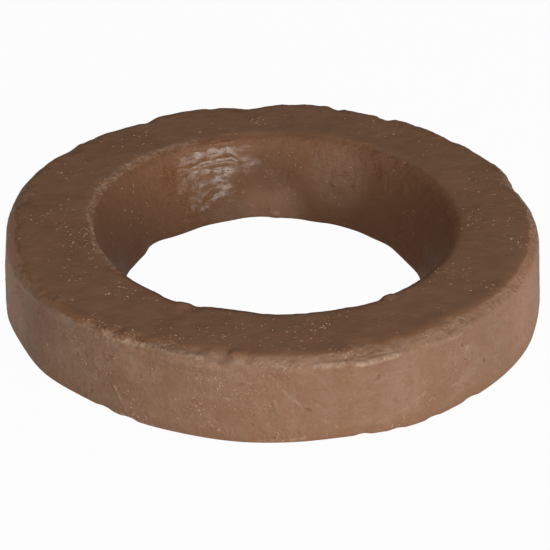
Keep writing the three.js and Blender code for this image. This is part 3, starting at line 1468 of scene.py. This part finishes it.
@dataclass
class WaxMasks:
    """Where each effect shows on the ring. A mask adds its nodes when it is first asked for.

    Attributes:
        graph: The material's graph.
        section: The section of the ring, which places the patches and streaks.
    """

    graph: Graph
    section: RingSection

    def patches(self, name: str, patches: tuple[Patch, ...]) -> Socket:
        """Marks a list of patches.

        Args:
            name: The name of their node group.
            patches: The patches.

        Returns:
            The mask of them all.
        """
        return self.graph.mask(patches_effect(name, self.section, patches), self.place)

    @cached_property
    def place(self) -> Socket:
        """Gives the object coordinates."""
        return self.graph.add("ShaderNodeTexCoord").outputs["Object"]

    @cached_property
    def upright(self) -> Socket:
        """Gives coordinates on which a pattern is drawn out up and down."""
        return self.graph.stretch(self.place, (1.0, 1.0, 0.12))

    @cached_property
    def crumb_group(self) -> bpy.types.NodeTree:
        """Gives the group that strews crumbs."""
        return crumbs_effect()

    @cached_property
    def scratch_group(self) -> bpy.types.NodeTree:
        """Gives the group that draws scratches."""
        return scratches_effect()

    @cached_property
    def zones(self) -> dict[str, Socket]:
        """Finds the faces of the ring, each under its name in the group.

        Returns:
            The mask of each zone.
        """
        ripple = self.graph.swing(self.place, 420, 3.0, 0.6)
        droop = self.patches("drooping_rim", DROOP_PATCHES)
        node = self.graph.place(zone_effect(), Vector=self.place, Ripple=ripple, Droop=droop)
        return dict(node.outputs.items())

    @cached_property
    def walls(self) -> Socket:
        """Marks both walls."""
        return self.graph.math("MAXIMUM", self.zones["Outside"], self.zones["Inside"])

    @cached_property
    def bore_back(self) -> Socket:
        """Marks the far side of the bore, which faces the camera.

        Returns:
            The mask.
        """
        axes = self.graph.add("ShaderNodeSeparateXYZ")
        self.graph.put(axes, 0, self.place)
        return self.graph.times(self.zones["Inside"], self.graph.fade(axes.outputs["Y"], 14 * MM, 32 * MM))

    @cached_property
    def glossy(self) -> Socket:
        """Marks the rubbed patches of the bore, with ragged borders.

        Returns:
            The mask.
        """
        graph = self.graph
        ragged = graph.swing(graph.stretch(self.place, (0.22, 0.22, 1.0)), 520, 4.0, 0.62)
        rubbed = self.patches("glossy_patches", GLOSS_PATCHES)
        border = graph.times(ragged, 1.8, graph.fade(rubbed, 0.0, 0.4))
        return graph.fade(graph.total(rubbed, border), 0.15, 0.95)

    @cached_property
    def pale(self) -> Socket:
        """Marks the patches of the walls that are painted paler: painted light and sheen."""
        return self.graph.times(self.patches("painted_light_patches", PAINTED_LIGHT_PATCHES), self.walls)

    @cached_property
    def pale_and_highlight(self) -> Socket:
        """Marks the streaks, torn along their length: mostly painted highlights along crests and facets,
        and a few pale scratches and a chip.

        Returns:
            The mask.
        """
        graph = self.graph
        torn = graph.fade(graph.noise(self.place, 800, 3.0, 0.65), 0.38, 0.6)
        return graph.times(graph.mask(streaks_effect(self.section, PALE_AND_HIGHLIGHT_STREAKS), self.place), torn)

    @cached_property
    def mottle(self) -> Socket:
        """Marks the fine dark mottling of the walls."""
        mottle = self.graph.fade(self.graph.noise(self.place, 400, 4.0, 0.7), 0.42, 0.66)
        return self.graph.times(mottle, self.walls)

    @cached_property
    def flakes(self) -> Socket:
        """Strews fine flakes, in lines on the top and in clusters on the walls.

        Returns:
            The mask.
        """
        graph = self.graph
        along_x = graph.stretch(self.place, (0.35, 1.0, 1.0))
        on_top = graph.times(
            graph.mask(self.crumb_group, along_x, Scale=1100.0, Size=0.2, Share=0.75, Curl=0.9),
            graph.fade(graph.noise(self.place, 55, 2.0), 0.45, 0.62),
            self.zones["Top"],
        )
        on_walls = graph.times(
            graph.mask(self.crumb_group, self.place, Scale=900.0, Size=0.22, Share=0.5, Curl=1.2),
            graph.fade(graph.noise(self.place, 70, 2.0), 0.46, 0.64),
            self.walls,
        )
        return graph.math("MAXIMUM", on_top, on_walls)

    @cached_property
    def pits(self) -> Socket:
        """Marks the small pits of the walls, which are laid darker as painted shade.

        Returns:
            The mask.
        """
        graph = self.graph
        specks = graph.mask(self.crumb_group, self.place, Scale=380.0, Size=0.22, Share=0.35, Curl=0.8)
        return graph.times(specks, self.walls, graph.fade(graph.noise(self.place, 60, 2.0), 0.4, 0.6))

    @cached_property
    def hairs(self) -> Socket:
        """Marks the hair scratches of the top face, most of them along X.

        Returns:
            The mask.
        """
        along_x = self.graph.stretch(self.place, (0.12, 1.0, 1.0))
        lines = self.graph.mask(self.scratch_group, along_x, Scale=420.0, Width=0.014, Share=0.55)
        return self.graph.times(lines, self.zones["Top"])

    @cached_property
    def scrapes(self) -> Socket:
        """Marks the longer scrapes of the outer wall.

        Returns:
            The mask.
        """
        around = self.graph.stretch(self.place, (0.5, 0.5, 1.0))
        lines = self.graph.mask(self.scratch_group, around, Scale=170.0, Width=0.016, Share=0.45)
        return self.graph.times(lines, self.zones["Outside"])

    @cached_property
    def drags(self) -> Socket:
        """Draws fine upright furrows on the outer wall."""
        return self.graph.times(self.graph.swing(self.upright, 520, 3.0), self.zones["Outside"])

    @cached_property
    def brush(self) -> Socket:
        """Draws fine level lines in the glossy patches.

        Returns:
            The height of the lines.
        """
        level = self.graph.stretch(self.place, (0.06, 0.06, 1.0))
        return self.graph.times(self.graph.swing(level, 1800, 3.0, 0.6), self.glossy)

    @cached_property
    def bands(self) -> Socket:
        """Marks the darker upright bands of the outer wall.

        Returns:
            The mask.
        """
        bands = self.graph.fade(self.graph.noise(self.upright, 150, 2.0), 0.47, 0.6)
        return self.graph.times(bands, self.zones["Outside"])

    @cached_property
    def blotches(self) -> Socket:
        """Marks the dark blotches of the walls.

        Returns:
            The mask.
        """
        blotches = self.graph.fade(self.graph.noise(self.place, 260, 3.0, 0.65), 0.52, 0.64)
        return self.graph.times(blotches, self.walls)

    @cached_property
    def wall_sheen(self) -> Socket:
        """Marks the painted sheen that lies over the outer wall, in soft clouds.

        Returns:
            The mask.
        """
        drawn_out = self.graph.stretch(self.place, (0.7, 0.7, 1.3))
        wall_sheen = self.graph.fade(self.graph.noise(drawn_out, 130, 4.0, 0.62), 0.42, 0.68)
        return self.graph.times(wall_sheen, self.zones["Outside"])


@dataclass(frozen=True)
class WaxFinish:
    """The soft brown wax. Colours are linear.

    Attributes:
        section: The section of the ring, which places the patches and streaks.
        colour: The body colour.
        dark: The colour of the darker clouds in it, and of the painted shade near the floor.
        wall: The greyer brown of the outer wall: painted sheen, as the wall is the same wax as the top.
        painted_sheen: The paler colour of the painted sheen over the outer wall, of the painted highlight
            on the band below the top edge, and of the painted light in patches of the walls.
        warm_side_light: The warmer paler colour of the painted light on the walls at the two sides and at
            the foot of the bore's far side.
        bore: The darker colour laid over the bore as painted shade; it also darkens the pits as painted
            shade.
        shadow: The darkest colour: painted shade on the left of the bore and in a patch of its far side.
        crumb: The colour of flakes and scratches, and of the painted highlights along the streaks.
        roughness: The mean roughness.
        gloss: The specular level.
        sheen: The tint of the reflections.
        coat: How strong the gloss of the glossy patches is.
        coat_roughness: The roughness of the glossy patches.
        coat_tint: What the glossy patches let through.
        relief: The height of the fine relief, in metres.
    """

    section: RingSection
    colour: Colour = (0.325, 0.158, 0.08, 1)
    dark: Colour = (0.275, 0.13, 0.063, 1)
    wall: Colour = (0.312, 0.171, 0.103, 1)
    painted_sheen: Colour = (0.372, 0.227, 0.146, 1)
    warm_side_light: Colour = (0.49, 0.236, 0.136, 1)
    bore: Colour = (0.24, 0.11, 0.055, 1)
    shadow: Colour = (0.2, 0.095, 0.05, 1)
    crumb: Colour = (0.62, 0.43, 0.30, 1)
    roughness: float = 0.52
    gloss: float = 0.4
    sheen: Colour = (1, 0.84, 0.7, 1)
    coat: float = 0.8
    coat_roughness: float = 0.2
    coat_tint: Colour = (1, 0.87, 0.72, 1)
    relief: float = 0.3 * MM

    def material(self) -> bpy.types.Material:
        """Builds the material.

        Returns:
            The material.
        """
        wax = bpy.data.materials.new("brown_wax")
        wax.use_nodes = True
        graph = Graph(wax.node_tree)
        masks = WaxMasks(graph, self.section)
        shader = graph.add("ShaderNodeBsdfPrincipled")
        output = graph.add("ShaderNodeOutputMaterial")
        bump = graph.add("ShaderNodeBump")
        graph.put(output, "Surface", shader.outputs["BSDF"])
        graph.put(shader, "Base Color", self._shade(graph, masks))
        graph.put(shader, "Roughness", self._roughness(graph, masks))
        graph.put(shader, "Specular IOR Level", self.gloss)
        graph.put(shader, "Specular Tint", self.sheen)
        graph.put(shader, "Coat Weight", graph.times(masks.glossy, self.coat))
        graph.put(shader, "Coat Roughness", self.coat_roughness)
        graph.put(shader, "Coat Tint", self.coat_tint)
        graph.put(bump, "Height", self._height(graph, masks))
        graph.put(bump, "Distance", self.relief)
        graph.put(shader, "Normal", bump.outputs["Normal"])
        return wax

    def _shade(self, graph: Graph, masks: WaxMasks) -> Socket:
        """Lays the colours over each other, from the plain wax up to the streaks, with painted sheen,
        highlights and shade among the layers.

        Args:
            graph: The material's graph.
            masks: Where each effect shows.

        Returns:
            The colour of the wax.
        """
        outside = masks.zones["Outside"]
        inside = masks.zones["Inside"]
        # Painted shade: the bore laid darker, except in the glossy patches, where the paler colour is a
        # painted highlight.
        shaded_bore = graph.times(inside, graph.total(1.0, graph.times(masks.glossy, -0.8)))
        # Painted light: warmer and paler patches of the walls.
        warm_light = graph.times(masks.patches("warm_light_patches", WARM_LIGHT_PATCHES), masks.walls)
        # Painted shade: patches of the bore laid darker.
        shaded = graph.times(masks.patches("shaded_patches", SHADED_PATCHES), inside)
        clouds = graph.fade(graph.noise(masks.place, 90, 4.0, 0.6), 0.3, 0.75)
        shade = graph.mix(clouds, self.colour, self.dark)
        for mask, amount, colour in (
            # Painted sheen: the whole outer wall in a greyer brown than the top.
            (outside, 1.0, self.wall),
            (shaded_bore, 1.0, self.bore),
            # Painted sheen: pale clouds over the outer wall.
            (masks.wall_sheen, 0.7, self.painted_sheen),
            # Painted highlight: the band of the outer wall just below the top edge, laid paler.
            (masks.zones["Band"], 0.4, self.painted_sheen),
            # Painted light: paler patches of the walls.
            (masks.pale, 0.8, self.painted_sheen),
            (masks.mottle, 0.4, self.dark),
            (masks.bands, 0.3, self.dark),
            (masks.blotches, 0.35, self.dark),
            (warm_light, 0.9, self.warm_side_light),
            (shaded, 0.8, self.shadow),
            # Painted shade: the outer wall darker towards the floor.
            (masks.zones["Foot"], 0.5, self.dark),
            # Painted shade: the small pits laid in the bore's dark colour.
            (masks.pits, 0.55, self.bore),
            (masks.hairs, 0.2, self.crumb),
            (masks.scrapes, 0.3, self.crumb),
            (masks.flakes, 0.55, self.crumb),
            # Painted highlights along crests and facets, with a few pale scratches and a chip.
            (masks.pale_and_highlight, 0.6, self.crumb),
        ):
            shade = graph.mix(graph.times(mask, amount), shade, colour)
        return shade

    def _roughness(self, graph: Graph, masks: WaxMasks) -> Socket:
        """Makes the glossy patches smooth, the bore a little rougher and the rest uneven.

        Args:
            graph: The material's graph.
            masks: Where each effect shows.

        Returns:
            The roughness.
        """
        uneven = graph.times(graph.swing(masks.place, 160, 3.0), 0.3)
        rougher = graph.times(masks.zones["Inside"], 0.1)
        smoother = graph.times(masks.glossy, -0.38)
        return graph.total(self.roughness, uneven, rougher, smoother)

    @staticmethod
    def _height(graph: Graph, masks: WaxMasks) -> Socket:
        """Adds up the fine relief.

        Args:
            graph: The material's graph.
            masks: Where each effect shows.

        Returns:
            The height.
        """
        crumbly = graph.math("MAXIMUM", masks.zones["Outside"], masks.bore_back)
        waviness = graph.total(1.2, graph.times(masks.zones["Inside"], -0.6))
        forms = (
            (masks.flakes, 0.5),
            (masks.pits, -0.8),
            (masks.hairs, 0.1),
            (masks.scrapes, -0.5),
            (masks.drags, 0.12),
            (masks.brush, 3.6),
            (graph.times(graph.swing(masks.place, 700, 4.0, 0.65), crumbly), 1.3),
            (graph.times(graph.swing(masks.place, 600, 4.0, 0.7), masks.glossy), 1.2),
            (graph.swing(masks.place, 700, 3.0, 0.6), 0.3),
            (graph.swing(masks.place, 220, 3.0), waviness),
        )
        return graph.total(*(graph.times(form, amount) for form, amount in forms))


@dataclass(frozen=True)
class CrumbFinish:
    """The thin pale wax of the crumbs. Colours are linear.

    Attributes:
        pale: The colour of the palest crumbs.
        brown: The colour of the darkest.
        roughness: The roughness.
    """

    pale: Colour = (0.70, 0.50, 0.36, 1)
    brown: Colour = (0.36, 0.19, 0.10, 1)
    roughness: float = 0.4

    def material(self) -> bpy.types.Material:
        """Builds the material.

        Returns:
            The material.
        """
        thin = bpy.data.materials.new("pale_wax")
        thin.use_nodes = True
        graph = Graph(thin.node_tree)
        place = graph.add("ShaderNodeTexCoord").outputs["Object"]
        shader = graph.add("ShaderNodeBsdfPrincipled")
        output = graph.add("ShaderNodeOutputMaterial")
        graph.put(output, "Surface", shader.outputs["BSDF"])
        tone = graph.fade(graph.noise(place, 300), 0.35, 0.65)
        graph.put(shader, "Base Color", graph.mix(tone, self.brown, self.pale))
        graph.put(shader, "Roughness", self.roughness)
        return thin


@dataclass(frozen=True)
class Softbox:
    """A soft lamp that faces the ring.

    Attributes:
        name: The lamp's name.
        azimuth: Degrees to the right of the camera.
        elevation: Degrees above the floor.
        width: Its width in metres.
        height: Its height in metres.
        brightness: How bright its face is, where white paper in full light is 1.
        distance: How far it is from the ring, in metres.
    """

    name: str
    azimuth: float
    elevation: float
    width: float
    height: float
    brightness: float
    distance: float = 1.2

    def build(self) -> bpy.types.Object:
        """Hangs the lamp.

        Returns:
            The lamp.
        """
        turn = math.radians(self.azimuth)
        lift = math.radians(self.elevation)
        level = math.cos(lift)
        towards = Vector((math.sin(turn) * level, -math.cos(turn) * level, math.sin(lift)))
        deselect_all()
        bpy.ops.object.light_add(
            type="AREA",
            location=towards * self.distance,
            rotation=towards.to_track_quat("Z", "Y").to_euler(),
        )
        lamp = bpy.context.object
        lamp.name = self.name
        lamp.data.shape = "RECTANGLE"
        lamp.data.size = self.width
        lamp.data.size_y = self.height
        lamp.data.energy = self.brightness * math.pi * self.width * self.height
        lamp.visible_camera = False
        return lamp


@dataclass
class Studio:
    """The floor, the lamps, the world and the camera.

    Attributes:
        floor_size: The side of the floor, in metres.
        floor_gap: How far the floor lies below the ring, so that the two never share a plane.
        paper: The colour of the floor.
        seen_white: How white the floor looks to the camera.
        mirrored_white: How white it looks in a reflection.
        air: How bright the dim room is.
        lamps: The softboxes.
        lens: The camera's focal length, in millimetres.
        sensor: The width of its sensor, in millimetres.
        place: Where the camera is, in millimetres.
        aim: Where it looks, in millimetres.
        roll: How far it is turned about its line of sight, in degrees.
    """

    floor_size: float = 40.0
    floor_gap: float = 0.02 * MM
    paper: Colour = (0.85, 0.85, 0.85, 1)
    seen_white: float = 0.97
    mirrored_white: float = 0.4
    air: float = 0.03
    lamps: tuple[Softbox, ...] = (
        Softbox("key_softbox", 20, 10, 1.05, 0.42, 4.4),
        Softbox("side_softbox", 42, 10, 1.05, 0.42, 2.8),
        Softbox("fill_softbox", -52, 10, 0.8, 0.42, 0.6),
        Softbox("front_softbox", 0, 62, 0.9, 0.7, 1.0),
        Softbox("right_softbox", 60, 45, 0.8, 0.8, 0.7),
        Softbox("left_softbox", -60, 45, 0.8, 0.8, 0.56),
        Softbox("back_softbox", 180, 40, 0.9, 0.6, 0.5),
    )
    lens: float = 140.7
    sensor: float = 36.0
    place: tuple[float, float, float] = (0, -484.265, 289.825)
    aim: tuple[float, float, float] = (0.235, 0, 5.06)
    roll: float = 0.542

    def build(self) -> None:
        """Makes the whole studio."""
        self._floor()
        self._world()
        for lamp in self.lamps:
            lamp.build()
        self._camera()

    def _floor(self) -> None:
        """Lays a plain pale floor that keeps the ring's shadow."""
        deselect_all()
        bpy.ops.mesh.primitive_plane_add(size=self.floor_size, location=(0, 0, -self.floor_gap))
        floor = bpy.context.object
        floor.name = "studio_floor"
        paper = bpy.data.materials.new("pale_paper")
        paper.use_nodes = True
        graph = Graph(paper.node_tree)
        path = graph.add("ShaderNodeLightPath").outputs
        seen = graph.times(path["Is Camera Ray"], self.seen_white)
        mirrored = graph.times(path["Is Glossy Ray"], self.mirrored_white)
        matt = graph.add("ShaderNodeBsdfDiffuse")
        graph.put(matt, "Color", self.paper)
        glow = graph.add("ShaderNodeEmission")
        graph.put(glow, "Strength", 1.0)
        blend = graph.add("ShaderNodeMixShader")
        graph.put(blend, 0, graph.total(seen, mirrored))
        graph.put(blend, 1, matt.outputs[0])
        graph.put(blend, 2, glow.outputs[0])
        output = graph.add("ShaderNodeOutputMaterial")
        graph.put(output, "Surface", blend.outputs[0])
        floor.data.materials.append(paper)

    def _world(self) -> None:
        """Fills the room with dim even light."""
        world = bpy.data.worlds.new("studio_air")
        world.use_nodes = True
        graph = Graph(world.node_tree)
        air = graph.add("ShaderNodeBackground")
        graph.put(air, "Color", (1, 1, 1, 1))
        graph.put(air, "Strength", self.air)
        output = graph.add("ShaderNodeOutputWorld")
        graph.put(output, "Surface", air.outputs[0])
        bpy.context.scene.world = world

    def _camera(self) -> None:
        """Sets the camera at the photograph's angle."""
        place = Vector(self.place) * MM
        sight = Vector(self.aim) * MM - place
        roll = Euler((0, 0, math.radians(self.roll)))
        facing = sight.to_track_quat("-Z", "Y") @ roll.to_quaternion()
        deselect_all()
        bpy.ops.object.camera_add(location=place, rotation=facing.to_euler())
        camera = bpy.context.object
        camera.name = "photo_camera"
        camera.data.lens = self.lens
        camera.data.sensor_width = self.sensor
        bpy.context.scene.camera = camera


def main() -> None:
    """Builds the ring and the studio, and reports each piece."""
    logging.basicConfig(level=logging.INFO, format="%(message)s")
    low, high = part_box(NODE)
    section = RingSection(height=high.z - low.z)
    ring = WaxRing(section).build()
    ring.data.materials.append(WaxFinish(section).material())
    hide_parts(NODE)
    crumbs = WaxCrumbs(section, ring).build()
    crumbs.data.materials.append(CrumbFinish().material())
    for piece in (ring, crumbs):
        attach(piece, BODY)
        log.info("%s: %d faces", piece.name, len(piece.data.polygons))
    Studio().build()
    log.info("studio: floor, lamps, world and camera")
    bpy.context.scene.view_settings.view_transform = "Standard"


if __name__ == "__main__":
    main()
